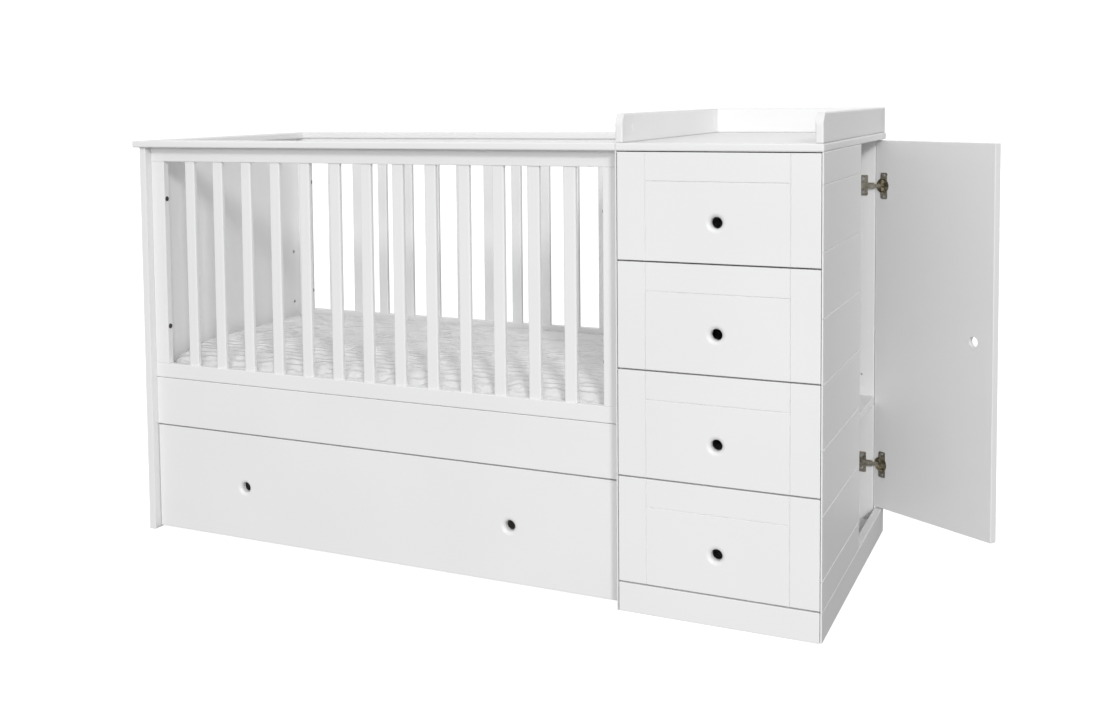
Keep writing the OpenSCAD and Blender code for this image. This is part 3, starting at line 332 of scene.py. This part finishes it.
# %% [markdown]
# The second is the relief: ripples between the stitches, and on them a weave
# of crossing threads, made from two wave patterns at right angles. Last comes
# a little sheen, for the fluff on the threads.

# %% Cotton
def waves(add, place, direction, **settings):
    """Bands across a direction; the settings say how fine and how bent."""
    links = {"Vector": place}
    bands = add("ShaderNodeTexWave", links, bands_direction=direction, **settings)
    return bands.outputs["Fac"]


def cotton_relief(add, place):
    """Ripples with crossing threads on them, as a normal."""
    ripple = waves(
        add, place, "Y", Scale=16.0, Distortion=6.0, Detail=2.0, Detail_Scale=1.4
    )
    puffs = add("ShaderNodeBump", {"Height": ripple}, Strength=0.8, Distance=0.004)
    warp = waves(add, place, "X", Scale=160.0, Distortion=1.2)
    weft = waves(add, place, "Y", Scale=160.0, Distortion=1.2)
    weave = add("ShaderNodeMath", {0: warp, 1: weft}, operation="ADD")
    on_puffs = {"Height": weave.outputs["Value"], "Normal": puffs.outputs["Normal"]}
    threads = add("ShaderNodeBump", on_puffs, Strength=0.25, Distance=0.0005)
    return threads.outputs["Normal"]


def cotton_finish(shade_start_z, top_z):
    """White woven cotton, rippled and mottled, with painted shade on its sides."""
    material, add, plug = new_finish("mattress_cloth", (0.80, 0.80, 0.80), 0.9)
    shader = material.node_tree.nodes["Principled BSDF"]
    shader.inputs["Sheen Weight"].default_value = 0.15
    shader.inputs["Sheen Roughness"].default_value = 0.5
    place = add("ShaderNodeTexCoord").outputs["Object"]
    plug(mottle_and_side_shade(add, place, shade_start_z, top_z), "Base Color")
    plug(cotton_relief(add, place), "Normal")
    return material


finishes["mattress_cloth"] = cotton_finish(shade_start_z, shade_end_z)
print("finishes:", len(finishes), "and one for the bolts")


# %% [markdown]
# ## Give each solid its finish
# The record that comes with the solids says which finish each piece takes.
# A solid keeps its mesh, and only its material slot is filled. The bolts are
# steel in the record, and are shown dark.

# %% Finish every solid
record_slots = {
    part["node"]: part["material_slot"] for part in frame["record"]["subparts"]
}
own_finish = {"stile_bolts": bolt_finish}
for name, solid in nodes.items():
    solid.data.materials.clear()
    solid.data.materials.append(own_finish.get(name, finishes[record_slots[name]]))
print("finished solids:", len(record_slots))


# %% [markdown]
# ## The mattress
# A crib mattress is a slab of foam in a quilted cover. The foam keeps its
# edges straight, but the cover is filled out by it: the top is slightly
# crowned, the sides belly out between the seams, and the corners are round.
# The slab is a cube with two rounds of bevels, first its upright edges and
# then its rims. It is plumper than the plain solid that it stands in for, by
# 8 mm at each long side, where it fills the gap to the slats, and it starts
# smaller by as much as the filling will swell it.

# %% A rounded slab
UPRIGHT_SEGMENTS = 8
RIM_SEGMENTS = 4


def rounded(slab, edges, offset, segments):
    """The edges of a bmesh, bevelled round."""
    bmesh.ops.bevel(
        slab, geom=edges, offset=offset, offset_type="OFFSET", segments=segments,
        profile=0.5, affect="EDGES", material=-1,
    )


def is_upright(edge):
    """From the bottom of the slab to its top."""
    return abs((edge.verts[0].co - edge.verts[1].co).z) > 1e-6


def is_rim(edge):
    """Between a side and the top or the bottom."""
    if is_upright(edge) or len(edge.link_faces) != 2:
        return False
    slopes = [abs(face.normal.z) for face in edge.link_faces]
    return max(slopes) > 0.9 and min(slopes) < 0.1


def rounded_slab(low, high, corner, edge):
    """A box with round upright corners and softer long edges, as a bmesh."""
    slab = bmesh.new()
    bmesh.ops.create_cube(slab, size=1.0)
    bmesh.ops.scale(slab, vec=high - low, verts=slab.verts)
    bmesh.ops.translate(slab, vec=(low + high) / 2, verts=slab.verts)
    uprights = [e for e in slab.edges if is_upright(e)]
    rounded(slab, uprights, corner, UPRIGHT_SEGMENTS)
    rims = [e for e in slab.edges if is_rim(e)]
    print("rim edges:", len(rims))
    rounded(slab, rims, edge, RIM_SEGMENTS)
    return slab


# %% Shape the foam slab
SWELL = 0.003
CROWN = 0.006
PLUMP = Vector((0.002, 0.008, 0.004))
CORNER_RADIUS = 0.05
EDGE_RADIUS = 0.042

slab_low = mattress_low + Vector((SWELL - PLUMP.x, SWELL - PLUMP.y, 0.0))
slab_high = mattress_high - Vector((SWELL, SWELL, SWELL + CROWN)) + PLUMP
slab = rounded_slab(slab_low, slab_high, CORNER_RADIUS, EDGE_RADIUS)
mattress_mesh = bpy.data.meshes.new("quilted_mattress")
slab.to_mesh(mattress_mesh)
slab.free()
mattress = bpy.data.objects.new("quilted_mattress", mattress_mesh)
bpy.context.scene.collection.objects.link(mattress)
print("foam slab in metres:", [round(v, 3) for v in slab_high - slab_low])


# %% [markdown]
# ## Even faces
# Cloth needs faces of even size, so the slab is remeshed on a grid. A
# modifier's result has to become the object's own mesh before the next step,
# and this helper does it for all of them.

# %% Remesh the slab
VOXEL = 0.0087


def baked(obj):
    """The object's mesh with its modifiers applied, put in place of its own."""
    seen = obj.evaluated_get(bpy.context.evaluated_depsgraph_get())
    mesh = bpy.data.meshes.new_from_object(seen)
    obj.modifiers.clear()
    old, obj.data = obj.data, mesh
    bpy.data.meshes.remove(old)
    return mesh


grid = mattress.modifiers.new("even_faces", "REMESH")
grid.mode = "VOXEL"
grid.voxel_size = VOXEL
grid.use_smooth_shade = True
baked(mattress)
print("mattress points:", len(mattress.data.vertices))


# %% [markdown]
# ## Fill the cover
# The slab is simulated as cloth for twenty frames, with pressure from inside
# and without gravity, because foam fills its cover evenly on all sides. The
# result is kept as plain points: how far each point moved is capped, and what
# would sink below the bottom is put back on it, where the mattress lies flat
# on its slats.

# %% Fill the cover
PRESSURE = 4.0
LAST_FRAME = 20


def filled(obj, cap, floor_z):
    """Blown up as cloth; each point moves no further than cap."""
    start = [v.co.copy() for v in obj.data.vertices]
    cloth = obj.modifiers.new("filling", "CLOTH")
    cloth.settings.use_pressure = True
    cloth.settings.uniform_pressure_force = PRESSURE
    cloth.settings.effector_weights.gravity = 0.0
    cloth.settings.tension_stiffness = 15.0
    cloth.settings.compression_stiffness = 15.0
    cloth.settings.shear_stiffness = 5.0
    cloth.settings.bending_stiffness = 1.0
    cloth.point_cache.frame_start = 1
    cloth.point_cache.frame_end = LAST_FRAME
    for moment in range(1, LAST_FRAME + 1):
        bpy.context.scene.frame_set(moment)
    mesh = baked(obj)
    bpy.context.scene.frame_set(1)
    furthest = 0.0
    for vertex, before in zip(mesh.vertices, start):
        move = vertex.co - before
        furthest = max(furthest, move.length)
        if move.length > cap:
            vertex.co = before + move * (cap / move.length)
        vertex.co.z = max(vertex.co.z, floor_z)
    print("furthest move before the cap:", round(furthest * 1000, 1), "mm")


filled(mattress, cap=SWELL, floor_z=mattress_low.z)


# %% [markdown]
# ## Quilt the top
# The cover is quilted in lines that wander like contours on a map. They are
# made last, because the remesh and the filling would wipe them out. Each
# point of the top is lowered where it lies near a line. The lines follow a
# slow noise with a finer one on it, so no two are alike, and they fade out at
# the edge, where the cover turns down.

# %% Where the quilting lines run
LINE_PITCH = 0.019
LINE_DEPTH = 0.0020
WANDER = 0.035
RIPPLE_SHARE = 0.4

# How fine each noise is along x and y, and at which height it is cut.
SLOW_NOISE = (3.1, 5.3, 0.7)
FINE_NOISE = (9.0, 13.0, 4.2)


def swayed(x, y, pattern):
    """A smooth noise between -1 and 1."""
    fine_x, fine_y, level = pattern
    return noise.noise(Vector((x * fine_x, y * fine_y, level)))


def quilt_depth(x, y):
    """How far the cover is drawn in at a place: 0 between lines, 1 on one."""
    drift = swayed(x, y, SLOW_NOISE)
    ripple = swayed(x, y, FINE_NOISE)
    across = (y + WANDER * drift + RIPPLE_SHARE * WANDER * ripple) / LINE_PITCH
    return (0.5 + 0.5 * math.cos(2.0 * math.pi * across)) ** 2


def smooth_step(value, low, high):
    """From 0 at low to 1 at high, without a corner at either."""
    share = min(max((value - low) / (high - low), 0.0), 1.0)
    return share * share * (3.0 - 2.0 * share)


finer = mattress.modifiers.new("finer", "SUBSURF")
finer.levels = 1
finer.render_levels = 1
baked(mattress)
print("points to quilt:", len(mattress.data.vertices))


# %% [markdown]
# The same step adds the crown, and lets the long edge sink a little on the
# side where one leans in, as it does on a used mattress.

# %% Quilt, crown and sink
SINK = 0.016
SINK_WIDTH = 0.15
FLATNESS = 4

mattress_mid = (mattress_low + mattress_high) / 2
half_length, half_width = ((mattress_high - mattress_low) / 2).xy
top_z = max(v.co.z for v in mattress.data.vertices)
lines_end = top_z - EDGE_RADIUS
lines_full = top_z - 0.3 * EDGE_RADIUS
for vertex in mattress.data.vertices:
    x, y, z = vertex.co
    rise = smooth_step(z, mattress_mid.z, top_z)
    edge_x = 1.0 - (abs(x - mattress_mid.x) / half_length) ** FLATNESS
    edge_y = 1.0 - (abs(y - mattress_mid.y) / half_width) ** FLATNESS
    crown = CROWN * max(edge_x, 0.0) * max(edge_y, 0.0)
    on_top = smooth_step(z, lines_end, lines_full)
    sunk = SINK * smooth_step(mattress_low.y + SINK_WIDTH - y, 0.0, SINK_WIDTH)
    vertex.co.z += rise * (crown - sunk) - on_top * LINE_DEPTH * quilt_depth(x, y)
mattress.data.update()
crowned_z = max(v.co.z for v in mattress.data.vertices)
print("top before and after:", round(top_z, 3), "and", round(crowned_z, 3), "m")


# %% [markdown]
# Last the mattress is shaded smooth and gets its cotton.

# %% Hand the mattress over
mattress.data.materials.clear()
mattress.data.materials.append(finishes["mattress_cloth"])
for face in mattress.data.polygons:
    face.use_smooth = True
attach(mattress, "carcase")
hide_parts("mattress")
print("mattress faces:", len(mattress.data.polygons))


# %% [markdown]
# ## The floor
# The crib is photographed in a white room: a pale floor that runs into a
# pale background without an edge. A sheet of white paper is wide enough to
# reach the horizon. It glows a little itself, because in a bright studio the
# paper is lit past white and the shadows on it vanish. It is kept out of the
# diffuse light and out of reflections: in the satin paint such a bright floor
# would make the sides lighter towards their foot, and on the real piece they
# get darker there. What a white floor throws back is part of the room's light
# below, where its strength can be set for the fronts alone. That light comes
# from under the sheet, so the sheet casts no shadow.

# %% Floor
HALF_WIDTH = 60.0
GLOW = 0.95

floor_shape = bmesh.new()
bmesh.ops.create_grid(floor_shape, x_segments=1, y_segments=1, size=HALF_WIDTH)
floor_mesh = bpy.data.meshes.new("studio_floor")
floor_shape.to_mesh(floor_mesh)
floor_shape.free()
floor = bpy.data.objects.new("studio_floor", floor_mesh)
bpy.context.scene.collection.objects.link(floor)
paper = new_finish("studio_paper", (0.32, 0.32, 0.32), 0.9)[0]
paper_shader = paper.node_tree.nodes["Principled BSDF"]
paper_shader.inputs["Emission Color"].default_value = (1.0, 1.0, 1.0, 1.0)
paper_shader.inputs["Emission Strength"].default_value = GLOW
paper_shader.inputs["Specular IOR Level"].default_value = 0.0
floor.data.materials.append(paper)
floor.visible_diffuse = False
floor.visible_shadow = False
floor.visible_glossy = False
print("floor is", floor.dimensions.x, "m wide")


# %% [markdown]
# ## The room's light
# White furniture in a white room keeps its shape only if its faces differ a
# little in tone. So the room isn't even. Each wall is a brightness that rises
# as the direction turns towards a vector, which takes one dot product and one
# range. A picture of a room could do the same, but these numbers can be read
# and changed one by one.

# %% Helpers for the room
world = bpy.data.worlds.new("white_room")
bpy.context.scene.world = world
world.use_nodes = True
sky = world.node_tree
backdrop = sky.nodes["Background"]
backdrop.inputs["Color"].default_value = (1.0, 1.0, 1.0, 1.0)
ways = sky.nodes.new("ShaderNodeTexCoord").outputs["Generated"]
RANGE_SOCKETS = ("From Min", "From Max", "To Min", "To Max")


def brightness(towards, start, end, low, high):
    """Rises from low to high as the direction turns towards a vector."""
    facing = sky.nodes.new("ShaderNodeVectorMath")
    facing.operation = "DOT_PRODUCT"
    facing.inputs[1].default_value = towards
    sky.links.new(ways, facing.inputs[0])
    rise = sky.nodes.new("ShaderNodeMapRange")
    rise.interpolation_type = "SMOOTHSTEP"
    for socket, value in zip(RANGE_SOCKETS, (start, end, low, high)):
        rise.inputs[socket].default_value = value
    sky.links.new(facing.outputs["Value"], rise.inputs["Value"])
    return rise.outputs["Result"]


def combined(operation, first, second):
    """Two brightnesses multiplied or added, or the larger of them."""
    joined = sky.nodes.new("ShaderNodeMath")
    joined.operation = operation
    sky.links.new(first, joined.inputs[0])
    sky.links.new(second, joined.inputs[1])
    return joined.outputs["Value"]


print("the room's light goes into", backdrop.name)


# %% [markdown]
# The back wall is bright, and the others are dim. The ceiling and the walls at
# the left and right add a little, and a glow from low in front stands for the
# white floor. Below the horizon the walls fade. The world's strength is the
# sum. Where the room itself is looked at, it is always white, so the dim
# walls light the piece but are never seen.

# %% Room light
UPWARDS = (0.0, 0.0, 1.0)
walls = brightness((-0.62, 0.78, 0.0), start=0.3, end=0.65, low=0.2, high=1.08)
above_floor = brightness(UPWARDS, start=-0.12, end=0.0, low=0.25, high=1.0)
ceiling = brightness(UPWARDS, start=0.1, end=0.8, low=0.0, high=0.24)
left_wall = brightness((-0.8, -0.6, 0.0), start=0.1, end=0.9, low=0.0, high=0.15)
right_wall = brightness((0.8, -0.5, 0.3), start=0.3, end=0.95, low=0.0, high=0.38)
floor_glow = brightness((-0.2, -0.8, -0.56), start=0.35, end=0.9, low=0.0, high=0.33)
sides = combined("ADD", left_wall, right_wall)
room = combined("MULTIPLY", combined("ADD", walls, sides), above_floor)
above_and_below = combined("ADD", ceiling, floor_glow)
light = combined("ADD", room, above_and_below)
looked_at = sky.nodes.new("ShaderNodeLightPath").outputs["Is Camera Ray"]
sky.links.new(combined("MAXIMUM", light, looked_at), backdrop.inputs["Strength"])
print("world nodes:", len(sky.nodes))


# %% [markdown]
# ## The lamps
# Two soft lamps stand on the camera's side. The key lamp is far off to the
# right and high up: it casts the soft slanting shadow of the top rail
# on the crib's end board, and the shadows at the feet of the slats. A wide
# lamp in front fills the fronts. The colours are shown as they are, without a
# film curve, so that white stays white.

# %% Lamps
AIM = Vector((0.0, 0.0, 0.5))


def soft_lamp(name, place, width, height, power):
    """A rectangular lamp at a place, turned to the crib."""
    data = bpy.data.lights.new(name, "AREA")
    data.shape = "RECTANGLE"
    data.size = width
    data.size_y = height
    data.energy = power
    lamp = bpy.data.objects.new(name, data)
    bpy.context.scene.collection.objects.link(lamp)
    lamp.location = place
    lamp.rotation_euler = (AIM - Vector(place)).to_track_quat("-Z", "Y").to_euler()


soft_lamp("key_lamp", (8.1, -11.5, 7.2), width=2.3, height=2.3, power=900.0)
soft_lamp("front_fill", (2.6, -11.6, 3.0), width=4.5, height=3.0, power=335.0)
bpy.context.scene.view_settings.view_transform = "Standard"
bpy.context.scene.view_settings.look = "None"
